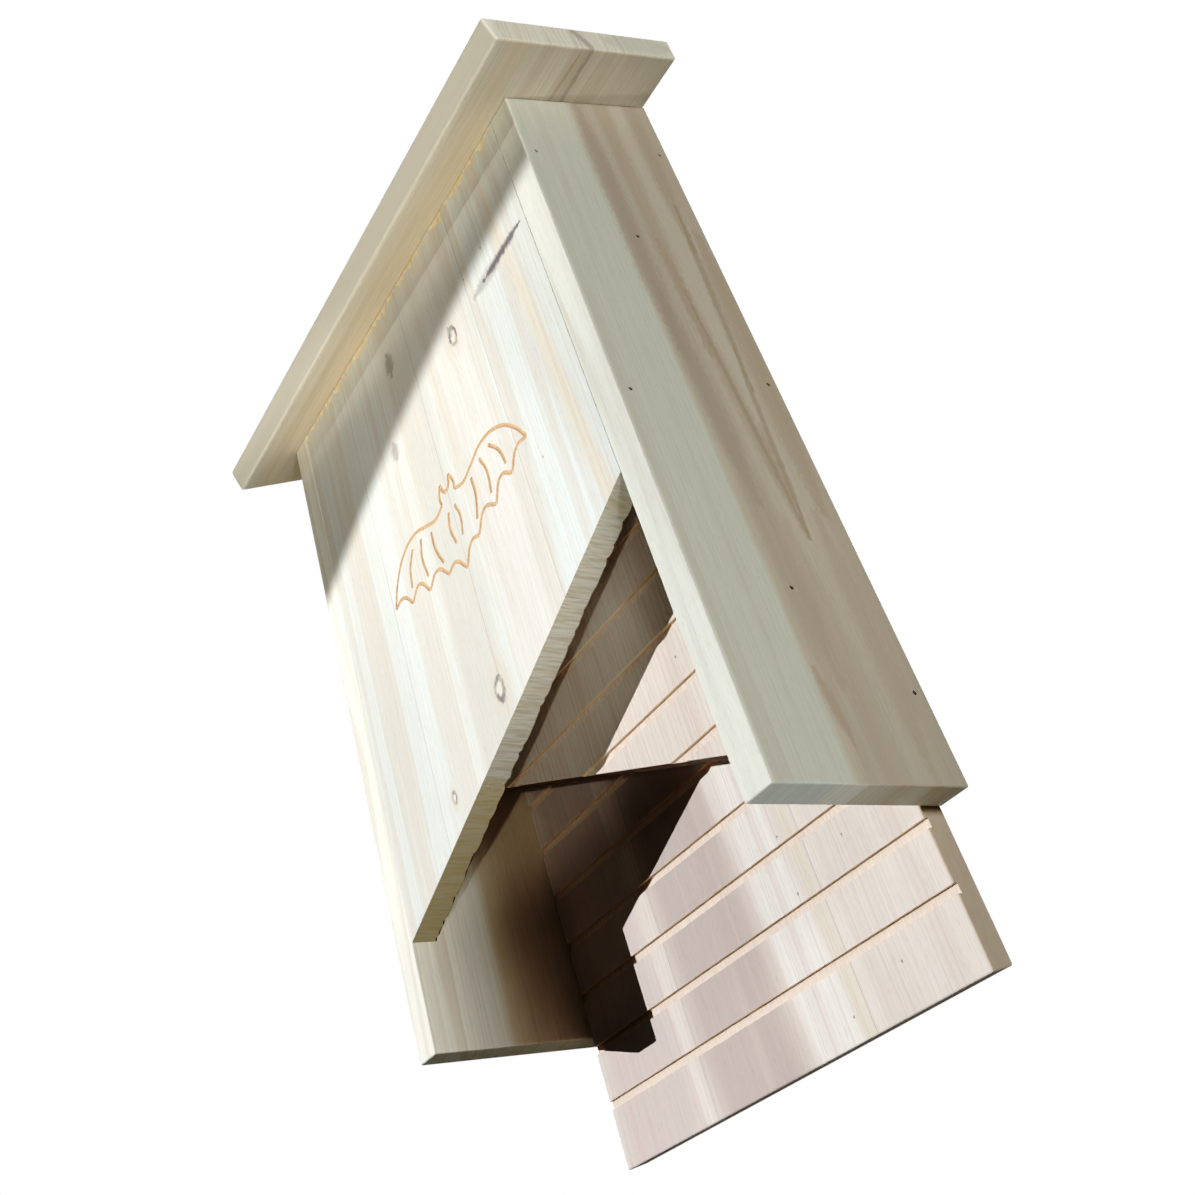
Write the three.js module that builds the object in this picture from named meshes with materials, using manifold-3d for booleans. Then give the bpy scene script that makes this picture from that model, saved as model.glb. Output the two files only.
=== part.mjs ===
// Bat box in unpainted fir: six boards held together with brads, hung on one screw.
// Two roosting chambers stand behind each other. The front panel and the partition between
// the chambers are cut off at opposite slants, so the way in is a zigzag, and the partition
// and the back panel carry ladder grooves that the bats climb.
//
// Millimetres, +Z up. The origin lies on the wall plane, on the centre line, level with the
// bottom ends of the side boards. +X is the right side seen from the front, +Y points at the wall.

import * as THREE from 'three';
import { mergeVertices } from 'three/addons/utils/BufferGeometryUtils.js';
import Module from 'manifold-3d';

// Body
const bodyWidth = 200; // over the outer faces of the side boards
const bodyDepth = 73; // wall plane to the front edges of the side boards
const frontHeight = 276; // side board at its front edge
const roofPitchDegrees = 20.2; // the roof falls to the front

// Boards of the body
const sideThickness = 11.5;
const frontThickness = 10;
const partitionThickness = 10;
const backThickness = 8.5;
const backDrop = 45.5; // the back panel hangs this far below the side boards, as a landing strip

// Roof board
const roofThickness = 11;
const roofSideOverhang = 23.5;
const roofFrontOverhang = 19.5; // along the slope, past the front corner of the side boards
const roofRounding = 1.2; // on the two long front corners

// Entrance cuts, as heights above the bottom ends of the side boards
const frontCutRight = 109.5;
const frontCutLeft = 39;
const partitionCutRight = 19;
const partitionCutLeft = 97;

// Ladder grooves, sawn straight across the boards
const groovePitch = 19.2;
const grooveWidth = 3;
const grooveDepth = 1.2;
const backFirstGroove = 23; // upper lip of the lowest groove above the end of the board
const partitionFirstGroove = 5.3; // the same, above the lowest corner of the partition
const grooveTopMargin = 14; // plain board left under the roof

// Keyhole that takes the hanging screw
const keyholeInset = 40.5; // the back panel's top end down to the centre of the round entry
const keyholeEntryDiameter = 10;
const keyholeSlotWidth = 5;
const keyholeSlotRise = 11; // entry centre up to the centre of the slot's round end

// Brads: headed wire nails, set just below the surface
const bradLength = 25;
const bradShankDiameter = 1.2;
const bradHeadDiameter = 2;
const bradHeadThickness = 0.8;
const bradPointLength = 2;
const bradSetDepth = 0.4;

// Places of the brads along the joints
const shortJointBrads = 2;
const longJointBrads = 3;
const frontBradLowInset = 24.5; // above the slanted cut
const frontBradHighInset = 30; // below the roof
const partitionBradLowInset = 44.5;
const partitionBradHighInset = 75.5;
const backBradLowInset = 30; // above the bottom ends of the side boards
const backBradHighInset = 30;
const roofBradInset = 13; // from the front and rear edges of the side boards

// Clearances
const jointGap = 0.2; // board to board
const bradGap = 0.3; // brad to its hole
const cutOverrun = 2; // every cutter runs past the faces that it opens

// Facets of the round forms
const bradSides = 8;
const keyholeArcSteps = 8;
const roundingSteps = 3;

// Worked out from the sizes above
const roofPitch = THREE.MathUtils.degToRad(roofPitchDegrees);
const roofSlope = Math.tan(roofPitch);
const bodyHalf = bodyWidth / 2;
const innerHalf = bodyHalf - sideThickness;
const panelHalf = innerHalf - jointGap;
const chamberDepth = (bodyDepth - frontThickness - partitionThickness - backThickness) / 2;
const frontPanelRear = -bodyDepth + frontThickness;
const partitionFront = frontPanelRear + chamberDepth;
const partitionRear = partitionFront + partitionThickness;
const backPanelFront = -backThickness;

const wasm = await Module();
wasm.setup();

// Height of the roof's underside at a depth, and the board tops that sit under it
function roofUnderside(y) {
  return frontHeight + (y + bodyDepth) * roofSlope;
}

function boardTop(y) {
  return roofUnderside(y) - jointGap;
}

// A closed three.js geometry as a solid that can be cut
function toSolid(geometry) {
  geometry.deleteAttribute('normal');
  geometry.deleteAttribute('uv');
  const merged = mergeVertices(geometry);
  const corners = merged.index.array;
  const kept = [];
  for (let i = 0; i < corners.length; i += 3) {
    const [a, b, c] = corners.slice(i, i + 3);
    if (a !== b && b !== c && c !== a) kept.push(a, b, c);
  }
  return new wasm.Manifold(new wasm.Mesh({
    numProp: 3,
    vertProperties: merged.attributes.position.array,
    triVerts: Uint32Array.from(kept),
  }));
}

function toGeometry(solid) {
  const { vertProperties, triVerts } = solid.getMesh();
  const geometry = new THREE.BufferGeometry();
  geometry.setAttribute('position', new THREE.BufferAttribute(vertProperties, 3));
  geometry.setIndex(new THREE.BufferAttribute(triVerts, 1));
  geometry.computeVertexNormals();
  return geometry;
}

function cutAll(solid, cutters) {
  return cutters.reduce((left, cutter) => left.subtract(cutter), solid);
}

// Extrudes an outline drawn in depth and height across the width, from one x to another
const acrossTurn = new THREE.Matrix4().makeBasis(
  new THREE.Vector3(0, 1, 0),
  new THREE.Vector3(0, 0, 1),
  new THREE.Vector3(1, 0, 0),
);

function extrudeAcross(shape, fromX, toX) {
  const geometry = new THREE.ExtrudeGeometry(shape, { depth: toX - fromX, bevelEnabled: false });
  geometry.applyMatrix4(acrossTurn);
  geometry.translate(fromX, 0, 0);
  return toSolid(geometry);
}

// Extrudes an outline drawn in width and height through the depth, from one y to another
const throughTurn = new THREE.Matrix4().makeBasis(
  new THREE.Vector3(1, 0, 0),
  new THREE.Vector3(0, 0, 1),
  new THREE.Vector3(0, -1, 0),
);

function extrudeThrough(shape, fromY, toY, curveSegments) {
  const settings = { depth: toY - fromY, bevelEnabled: false, curveSegments };
  const geometry = new THREE.ExtrudeGeometry(shape, settings);
  geometry.applyMatrix4(throughTurn);
  geometry.translate(0, toY, 0);
  return toSolid(geometry);
}

function outline(points) {
  return new THREE.Shape(points.map(([across, up]) => new THREE.Vector2(across, up)));
}

// An upright board between two depths whose top end is bevelled to the roof's pitch
function uprightBoard(frontY, rearY, bottom, fromX, toX) {
  const profile = outline([
    [frontY, bottom],
    [rearY, bottom],
    [rearY, boardTop(rearY)],
    [frontY, boardTop(frontY)],
  ]);
  return extrudeAcross(profile, fromX, toX);
}

// The wedge that takes the slanted end off a panel: all below the line from left to right height
function slantCutter(frontY, rearY, leftHeight, rightHeight) {
  const rise = (rightHeight - leftHeight) / (2 * innerHalf);
  const reach = innerHalf + cutOverrun;
  const floor = Math.min(leftHeight, rightHeight) - cutOverrun;
  const wedge = outline([
    [-reach, floor],
    [reach, floor],
    [reach, rightHeight + rise * cutOverrun],
    [-reach, leftHeight - rise * cutOverrun],
  ]);
  return extrudeThrough(wedge, frontY - cutOverrun, rearY + cutOverrun);
}

// Saw cutters for the ladder grooves in the front face of a panel
function grooveCutters(faceY, boardBottom, firstLip) {
  const cutters = [];
  const highest = boardTop(faceY) - grooveTopMargin;
  for (let lip = boardBottom + firstLip; lip < highest; lip += groovePitch) {
    const section = outline([
      [faceY - cutOverrun, lip - grooveWidth],
      [faceY + grooveDepth, lip - grooveWidth],
      [faceY + grooveDepth, lip],
      [faceY - cutOverrun, lip],
    ]);
    cutters.push(extrudeAcross(section, -bodyHalf, bodyHalf));
  }
  return cutters;
}

// The keyhole: a round entry with a narrower slot rising out of it
function keyholeCutter() {
  const entryRadius = keyholeEntryDiameter / 2;
  const slotHalf = keyholeSlotWidth / 2;
  const shoulder = Math.asin(slotHalf / entryRadius);
  const entryHeight = boardTop(0) - keyholeInset;
  const hole = new THREE.Shape();
  hole.absarc(0, entryHeight, entryRadius, Math.PI / 2 + shoulder, Math.PI * 2.5 - shoulder, false);
  hole.absarc(0, entryHeight + keyholeSlotRise, slotHalf, 0, Math.PI, false);
  return extrudeThrough(hole, -backThickness - cutOverrun, cutOverrun, keyholeArcSteps);
}

// A brad along its own axis. Height zero is the board's surface and the brad points down.
// With a gap it is the drill that makes the brad's hole, open at the surface.
function bradShape(gap) {
  const headTop = gap > 0 ? cutOverrun : -bradSetDepth;
  const headBottom = -bradSetDepth - bradHeadThickness - gap;
  const tip = -bradSetDepth - bradLength - gap;
  const shank = bradShankDiameter / 2 + gap;
  const head = bradHeadDiameter / 2 + gap;
  return [
    [0, tip],
    [shank, tip + bradPointLength],
    [shank, headBottom],
    [head, headBottom],
    [head, headTop],
    [0, headTop],
  ].map(([radius, height]) => new THREE.Vector2(radius, height));
}

const bradAxis = new THREE.Vector3(0, -1, 0);

function bradTurn(brad) {
  return new THREE.Quaternion().setFromUnitVectors(bradAxis, brad.direction);
}

function placedBrad(brad, gap) {
  const geometry = new THREE.LatheGeometry(bradShape(gap), bradSides);
  geometry.applyQuaternion(bradTurn(brad));
  geometry.translate(brad.point.x, brad.point.y, brad.point.z);
  return toSolid(geometry);
}

function bradDrills(brads) {
  return brads.map((brad) => placedBrad(brad, bradGap));
}

// Evenly spaced values from the first to the last
function evenly(first, last, count) {
  return Array.from({ length: count }, (_, i) => first + ((last - first) * i) / (count - 1));
}

// Brads driven square through a side board into the edge of a panel
function sideBrads(sign, y, heights) {
  return heights.map((z) => ({
    point: new THREE.Vector3(sign * bodyHalf, y, z),
    direction: new THREE.Vector3(-sign, 0, 0),
  }));
}

const rightSign = 1;
const leftSign = -1;

const frontBradY = -bodyDepth + frontThickness / 2;
const frontBradHigh = boardTop(frontBradY) - frontBradHighInset;
const frontBradsRight = sideBrads(
  rightSign, frontBradY, evenly(frontCutRight + frontBradLowInset, frontBradHigh, shortJointBrads),
);
const frontBradsLeft = sideBrads(
  leftSign, frontBradY, evenly(frontCutLeft + frontBradLowInset, frontBradHigh, longJointBrads),
);

const partitionBradY = (partitionFront + partitionRear) / 2;
const partitionBradHigh = boardTop(partitionBradY) - partitionBradHighInset;

function partitionBrads(sign, cutHeight) {
  const lowest = cutHeight + partitionBradLowInset;
  return sideBrads(sign, partitionBradY, evenly(lowest, partitionBradHigh, shortJointBrads));
}

const partitionBradsRight = partitionBrads(rightSign, partitionCutRight);
const partitionBradsLeft = partitionBrads(leftSign, partitionCutLeft);

const backBradY = -backThickness / 2;
const backBradHigh = boardTop(backBradY) - backBradHighInset;
const backBradHeights = evenly(backBradLowInset, backBradHigh, longJointBrads);
const backBradsRight = sideBrads(rightSign, backBradY, backBradHeights);
const backBradsLeft = sideBrads(leftSign, backBradY, backBradHeights);

// Brads driven square to the roof into the top end of each side board
const roofDown = new THREE.Vector3(0, Math.sin(roofPitch), -Math.cos(roofPitch));

function roofBrads(sign) {
  const x = sign * (bodyHalf - sideThickness / 2);
  return evenly(-bodyDepth + roofBradInset, -roofBradInset, longJointBrads).map((y) => {
    const underside = new THREE.Vector3(x, y, roofUnderside(y));
    return { point: underside.addScaledVector(roofDown, -roofThickness), direction: roofDown };
  });
}

const roofBradsRight = roofBrads(rightSign);
const roofBradsLeft = roofBrads(leftSign);

// Roof: one board, square at its front edge and cut plumb where it meets the wall
function roofBoard() {
  const along = new THREE.Vector2(Math.cos(roofPitch), Math.sin(roofPitch));
  const up = new THREE.Vector2(-along.y, along.x);
  const eave = new THREE.Vector2(-bodyDepth, frontHeight).addScaledVector(along, -roofFrontOverhang);
  const at = (inward, rise) => eave.clone().addScaledVector(along, inward).addScaledVector(up, rise);
  const turnStart = roofPitch + Math.PI;
  const shape = new THREE.Shape();
  const low = at(roofRounding, roofRounding);
  const high = at(roofRounding, roofThickness - roofRounding);
  shape.moveTo(0, roofUnderside(0));
  shape.lineTo(0, roofUnderside(0) + roofThickness / Math.cos(roofPitch));
  shape.absarc(high.x, high.y, roofRounding, turnStart - Math.PI / 2, turnStart, false);
  shape.absarc(low.x, low.y, roofRounding, turnStart, turnStart + Math.PI / 2, false);
  const halfWidth = bodyHalf + roofSideOverhang;
  const settings = { depth: 2 * halfWidth, bevelEnabled: false, curveSegments: roundingSteps };
  const geometry = new THREE.ExtrudeGeometry(shape, settings);
  geometry.applyMatrix4(acrossTurn);
  geometry.translate(-halfWidth, 0, 0);
  return cutAll(toSolid(geometry), bradDrills([...roofBradsRight, ...roofBradsLeft]));
}

// Side boards: full depth, outermost, with every other board nailed between them
function sideBoard(sign, brads) {
  const nearX = sign > 0 ? innerHalf : -bodyHalf;
  const board = uprightBoard(-bodyDepth, 0, 0, nearX, nearX + sideThickness);
  return cutAll(board, bradDrills(brads));
}

// Front panel: flush with the side boards' front edges, slanted off above the entrance
function frontPanel() {
  const lowest = Math.min(frontCutLeft, frontCutRight);
  const board = uprightBoard(-bodyDepth, frontPanelRear, lowest, -panelHalf, panelHalf);
  const slant = slantCutter(-bodyDepth, frontPanelRear, frontCutLeft, frontCutRight);
  return cutAll(board, [slant, ...bradDrills([...frontBradsRight, ...frontBradsLeft])]);
}

// Partition between the chambers: grooved in front, slanted off the other way
function innerPartition() {
  const lowest = Math.min(partitionCutLeft, partitionCutRight);
  const board = uprightBoard(partitionFront, partitionRear, lowest, -panelHalf, panelHalf);
  const slant = slantCutter(partitionFront, partitionRear, partitionCutLeft, partitionCutRight);
  const grooves = grooveCutters(partitionFront, lowest, partitionFirstGroove);
  const drills = bradDrills([...partitionBradsRight, ...partitionBradsLeft]);
  return cutAll(board, [slant, ...grooves, ...drills]);
}

// Back panel: flush with the side boards at the wall, grooved in front down to the landing strip
function backPanel() {
  const board = uprightBoard(backPanelFront, 0, -backDrop, -panelHalf, panelHalf);
  const grooves = grooveCutters(backPanelFront, -backDrop, backFirstGroove);
  const drills = bradDrills([...backBradsRight, ...backBradsLeft]);
  return cutAll(board, [...grooves, keyholeCutter(), ...drills]);
}

const firRoof = { color: 0xb9ac8e, roughness: 0.75, metalness: 0 };
const firSide = { color: 0xbdb49b, roughness: 0.75, metalness: 0 };
const firFront = { color: 0xe4d9c4, roughness: 0.7, metalness: 0 };
const firPartition = { color: 0xd9c8b2, roughness: 0.75, metalness: 0 };
const firBack = { color: 0xe0cfbf, roughness: 0.75, metalness: 0 };
const bradSteel = { color: 0x8b8a86, roughness: 0.45, metalness: 1 };

const group = new THREE.Group();

function addBoard(name, solid, finish) {
  const material = new THREE.MeshStandardMaterial({ ...finish, flatShading: true });
  const mesh = new THREE.Mesh(toGeometry(solid), material);
  mesh.name = name;
  group.add(mesh);
}

// All brads are alike: one shape, driven in at each place, numbered from the bottom or the front
const bradGeometry = toGeometry(toSolid(new THREE.LatheGeometry(bradShape(0), bradSides)));

function addBrads(name, brads) {
  brads.forEach((brad, i) => {
    const material = new THREE.MeshStandardMaterial({ ...bradSteel, flatShading: true });
    const mesh = new THREE.Mesh(bradGeometry, material);
    mesh.name = `${name}_${i + 1}`;
    mesh.position.copy(brad.point);
    mesh.quaternion.copy(bradTurn(brad));
    group.add(mesh);
  });
}

const bradsRight = [...frontBradsRight, ...partitionBradsRight, ...backBradsRight, ...roofBradsRight];
const bradsLeft = [...frontBradsLeft, ...partitionBradsLeft, ...backBradsLeft, ...roofBradsLeft];

addBoard('roof_board', roofBoard(), firRoof);
addBoard('right_side_board', sideBoard(rightSign, bradsRight), firSide);
addBoard('left_side_board', sideBoard(leftSign, bradsLeft), firSide);
addBoard('front_panel', frontPanel(), firFront);
addBoard('inner_partition', innerPartition(), firPartition);
addBoard('back_panel', backPanel(), firBack);
addBrads('roof_brad_right', roofBradsRight);
addBrads('roof_brad_left', roofBradsLeft);
addBrads('front_brad_right', frontBradsRight);
addBrads('front_brad_left', frontBradsLeft);
addBrads('partition_brad_right', partitionBradsRight);
addBrads('partition_brad_left', partitionBradsLeft);
addBrads('back_brad_right', backBradsRight);
addBrads('back_brad_left', backBradsLeft);

export default group;
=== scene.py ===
import math
import random
import bpy
from mathutils import Matrix, Vector


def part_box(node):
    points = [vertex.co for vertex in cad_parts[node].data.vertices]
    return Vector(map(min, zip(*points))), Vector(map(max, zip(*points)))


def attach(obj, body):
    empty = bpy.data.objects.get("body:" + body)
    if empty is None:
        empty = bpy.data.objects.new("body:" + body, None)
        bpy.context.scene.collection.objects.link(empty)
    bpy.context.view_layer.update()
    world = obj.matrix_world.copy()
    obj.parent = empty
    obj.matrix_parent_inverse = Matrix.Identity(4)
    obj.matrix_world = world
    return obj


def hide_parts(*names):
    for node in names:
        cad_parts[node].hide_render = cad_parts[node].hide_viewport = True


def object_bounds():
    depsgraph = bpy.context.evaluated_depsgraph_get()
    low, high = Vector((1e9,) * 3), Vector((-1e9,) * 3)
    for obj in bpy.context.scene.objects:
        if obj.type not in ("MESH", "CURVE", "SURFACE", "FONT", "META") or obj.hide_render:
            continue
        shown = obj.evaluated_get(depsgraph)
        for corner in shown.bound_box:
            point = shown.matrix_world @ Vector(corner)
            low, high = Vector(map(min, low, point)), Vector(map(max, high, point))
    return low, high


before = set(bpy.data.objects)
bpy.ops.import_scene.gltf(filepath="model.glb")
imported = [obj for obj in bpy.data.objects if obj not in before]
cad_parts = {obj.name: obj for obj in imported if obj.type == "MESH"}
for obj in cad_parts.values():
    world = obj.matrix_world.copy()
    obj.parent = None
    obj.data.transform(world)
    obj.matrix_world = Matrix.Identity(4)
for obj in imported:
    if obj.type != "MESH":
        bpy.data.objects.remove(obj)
cad_low, cad_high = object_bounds()

# Back panel
# A fir panel glued up from staves. It lies against the wall between the side boards, hangs below
# them as a landing strip, carries saw-cut ladder grooves, and a keyhole takes the hanging screw.
MM = 0.001
back_low, back_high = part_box("back_panel")
front_low, front_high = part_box("front_panel")
roof_slope = (back_high.z - front_high.z) / (back_high.y - front_high.y)
roof_up = Vector((0, -roof_slope, 1)).normalized()

eased_edge = 0.5 * MM
least_corner = math.radians(30)
weld_distance = 0.001 * MM
groove_pitch = 19.2 * MM
groove_width = 3 * MM
groove_depth = 1.2 * MM
groove_top_margin = 14 * MM
groove_lip_chips = 0.25 * MM
groove_lip_steps = 90
groove_chip_rarity = 3
back_first_groove = 23 * MM
back_end_drop = 0.009
back_end_rise = 0.16
keyhole_inset = 40.5 * MM
keyhole_entry_radius = 5 * MM
keyhole_slot_radius = 2.5 * MM
keyhole_slot_rise = 11 * MM
overrun = 2 * MM
knot_core_colour = (0.82, 0.78, 0.70, 1)
knot_rim_colour = (0.13, 0.11, 0.10, 1)
grain_relief = 0.12 * MM
fibre_relief = 0.2 * MM
noise_middle = 0.5


def deselect_all():
    bpy.ops.object.select_all(action="DESELECT")


def make_active(piece):
    deselect_all()
    piece.select_set(True)
    bpy.context.view_layer.objects.active = piece


def blank(name, low, high):
    """A squared block between two corners, as sawn to size."""
    deselect_all()
    bpy.ops.mesh.primitive_cube_add(size=1, location=(low + high) / 2, scale=high - low)
    bpy.ops.object.transform_apply(location=True, rotation=False, scale=True)
    piece = bpy.context.object
    piece.name = piece.data.name = name
    return piece


def saw_off(piece, point, outward):
    """Takes off all that lies beyond a plane and closes the cut."""
    make_active(piece)
    bpy.ops.object.mode_set(mode="EDIT")
    bpy.ops.mesh.select_all(action="SELECT")
    bpy.ops.mesh.bisect(plane_co=point, plane_no=outward, use_fill=True, clear_outer=True)
    bpy.ops.object.mode_set(mode="OBJECT")


def split_along_x(piece, cuts):
    """Divides the edges that run along X, so that rings of corners stand along the block."""
    make_active(piece)
    bpy.ops.object.mode_set(mode="EDIT")
    bpy.ops.mesh.select_mode(type="EDGE")
    bpy.ops.mesh.select_all(action="DESELECT")
    bpy.ops.object.mode_set(mode="OBJECT")
    corners = piece.data.vertices
    for edge in piece.data.edges:
        reach = corners[edge.vertices[0]].co - corners[edge.vertices[1]].co
        edge.select = abs(reach.x) > abs(reach.y) + abs(reach.z)
    bpy.ops.object.mode_set(mode="EDIT")
    bpy.ops.mesh.subdivide(number_cuts=cuts)
    bpy.ops.object.mode_set(mode="OBJECT")


def apply_modifier(piece, modifier):
    make_active(piece)
    bpy.ops.object.modifier_apply(modifier=modifier.name)


def ease_edges(piece, width, segments=2):
    bevel = piece.modifiers.new("eased edges", "BEVEL")
    bevel.width = width
    bevel.segments = segments
    bevel.limit_method = "ANGLE"
    bevel.angle_limit = least_corner
    apply_modifier(piece, bevel)


def join_all(pieces):
    make_active(pieces[0])
    for piece in pieces:
        piece.select_set(True)
    if len(pieces) > 1:
        bpy.ops.object.join()
    return bpy.context.object


def outward_faces(piece):
    make_active(piece)
    bpy.ops.object.mode_set(mode="EDIT")
    bpy.ops.mesh.select_all(action="SELECT")
    bpy.ops.mesh.remove_doubles(threshold=weld_distance)
    bpy.ops.mesh.normals_make_consistent(inside=False)
    bpy.ops.object.mode_set(mode="OBJECT")


def cut_away(piece, cutters, overlapping=False):
    """Cuts the joined cutters out of a piece. Faces that a cutter leaves keep the cutter's material."""
    cutter = join_all(cutters)
    outward_faces(cutter)
    boolean = piece.modifiers.new("cut", "BOOLEAN")
    boolean.operation = "DIFFERENCE"
    boolean.solver = "EXACT"
    boolean.use_self = overlapping
    boolean.material_mode = "TRANSFER"
    boolean.object = cutter
    apply_modifier(piece, boolean)
    bpy.data.objects.remove(cutter)


def groove_cutters(low, high, first_lip, seed, sawn):
    """Saw cutters for the ladder grooves. The lower lip of each groove is slightly chipped."""
    draw = random.Random(seed)
    cutters = []
    lip = low.z + first_lip
    highest = high.z + low.y * roof_slope - groove_top_margin
    while lip < highest:
        corner = Vector((low.x - overrun, low.y - overrun, lip - groove_width))
        opposite = Vector((high.x + overrun, low.y + groove_depth, lip))
        cutter = blank("groove", corner, opposite)
        cutter.data.materials.append(sawn)
        split_along_x(cutter, groove_lip_steps)
        for point in cutter.data.vertices:
            if point.co.z < lip - groove_width / 2 and point.co.y < low.y:
                chip = draw.random() ** groove_chip_rarity * groove_lip_chips
                point.co.z -= chip * overrun / groove_depth
        cutters.append(cutter)
        lip += groove_pitch
    return cutters


def keyhole_cutters():
    """A round entry for the screw head, with a narrower slot rising out of it."""
    entry_height = back_high.z - keyhole_inset
    deselect_all()
    quarter = (math.radians(90), 0, 0)
    length = 2 * (back_high.y - back_low.y) + 2 * overrun
    centre = Vector((0, back_low.y, entry_height))
    bpy.ops.mesh.primitive_cylinder_add(
        vertices=48, radius=keyhole_entry_radius, depth=length, location=centre, rotation=quarter)
    entry = bpy.context.object
    top = centre + Vector((0, 0, keyhole_slot_rise))
    bpy.ops.mesh.primitive_cylinder_add(
        vertices=32, radius=keyhole_slot_radius, depth=length, location=top, rotation=quarter)
    rounding = bpy.context.object
    slot_low = Vector((-keyhole_slot_radius, back_low.y - length / 2, entry_height))
    slot_high = Vector((keyhole_slot_radius, back_low.y + length / 2, top.z))
    return [entry, rounding, blank("slot", slot_low, slot_high)]


def new_material(name):
    """A fresh material: itself, its node tree and its main shader."""
    material = bpy.data.materials.new(name)
    material.use_nodes = True
    tree = material.node_tree
    return material, tree, tree.nodes["Principled BSDF"]


def add_node(tree, kind, inputs=None, **settings):
    """One shader node with its settings. An input is a value or the socket that feeds it."""
    made = tree.nodes.new(kind)
    for name, value in settings.items():
        setattr(made, name, value)
    for name, value in (inputs or {}).items():
        if isinstance(value, bpy.types.NodeSocket):
            tree.links.new(value, made.inputs[name])
        else:
            made.inputs[name].default_value = value
    return made


def calc(tree, operation, *values):
    return add_node(tree, "ShaderNodeMath", dict(enumerate(values)), operation=operation).outputs[0]


def times(tree, first, second):
    return calc(tree, "MULTIPLY", first, second)


def less(tree, first, second):
    return calc(tree, "SUBTRACT", first, second)


def vector_sum(tree, operation, inputs):
    return add_node(tree, "ShaderNodeVectorMath", inputs, operation=operation).outputs


def calc_vector(tree, operation, *values):
    return vector_sum(tree, operation, dict(enumerate(values)))[0]


def scaled(tree, vector, amount):
    return vector_sum(tree, "SCALE", {0: vector, "Scale": amount})[0]


def length_of(tree, vector):
    return vector_sum(tree, "LENGTH", {0: vector})["Value"]


def dot_of(tree, first, second):
    return vector_sum(tree, "DOT_PRODUCT", {0: first, 1: second})["Value"]


def parts_of(tree, vector):
    return add_node(tree, "ShaderNodeSeparateXYZ", {0: vector}).outputs


def ramp(tree, value, low, high, start=0.0, end=1.0):
    """Eases from start to end as the value goes from low to high, and stays flat outside."""
    limits = {"Value": value, "From Min": low, "From Max": high, "To Min": start, "To Max": end}
    return add_node(tree, "ShaderNodeMapRange", limits, interpolation_type="SMOOTHSTEP").outputs["Result"]


def mixed(tree, amount, first, second, mode="MIX"):
    sockets = {0: amount, 6: first, 7: second}
    return add_node(tree, "ShaderNodeMix", sockets, data_type="RGBA", blend_type=mode).outputs[2]


def darkened(tree, colour, shade):
    grey = add_node(tree, "ShaderNodeCombineColor", {0: shade, 1: shade, 2: shade}).outputs[0]
    return mixed(tree, 1.0, colour, grey, "MULTIPLY")


def stretched_noise(tree, point, scale, detail=2.0):
    """Noise with its own number of waves for each millimetre along X, Y and Z."""
    place = add_node(tree, "ShaderNodeMapping", {"Vector": point, "Scale": scale}).outputs[0]
    waves = {"Vector": place, "Scale": 1.0, "Detail": detail}
    return add_node(tree, "ShaderNodeTexNoise", waves).outputs["Fac"]


def swinging_noise(tree, point, scale, detail=2.0):
    """The same noise, moved down by its middle value so that it swings evenly about zero."""
    return less(tree, stretched_noise(tree, point, scale, detail), noise_middle)


def effect_group(name, inputs, outputs):
    """An empty shader node group with named sockets: the group, what it is given, what it puts out."""
    tree = bpy.data.node_groups.new(name, "ShaderNodeTree")
    for label, default in inputs:
        kind = "NodeSocketVector" if isinstance(default, tuple) else "NodeSocketFloat"
        tree.interface.new_socket(label, in_out="INPUT", socket_type=kind).default_value = default
    for label, kind in outputs:
        tree.interface.new_socket(label, in_out="OUTPUT", socket_type=kind)
    return tree, tree.nodes.new("NodeGroupInput").outputs, tree.nodes.new("NodeGroupOutput").inputs


def effect(tree, group, inputs):
    return add_node(tree, "ShaderNodeGroup", inputs, node_tree=group).outputs


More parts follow.
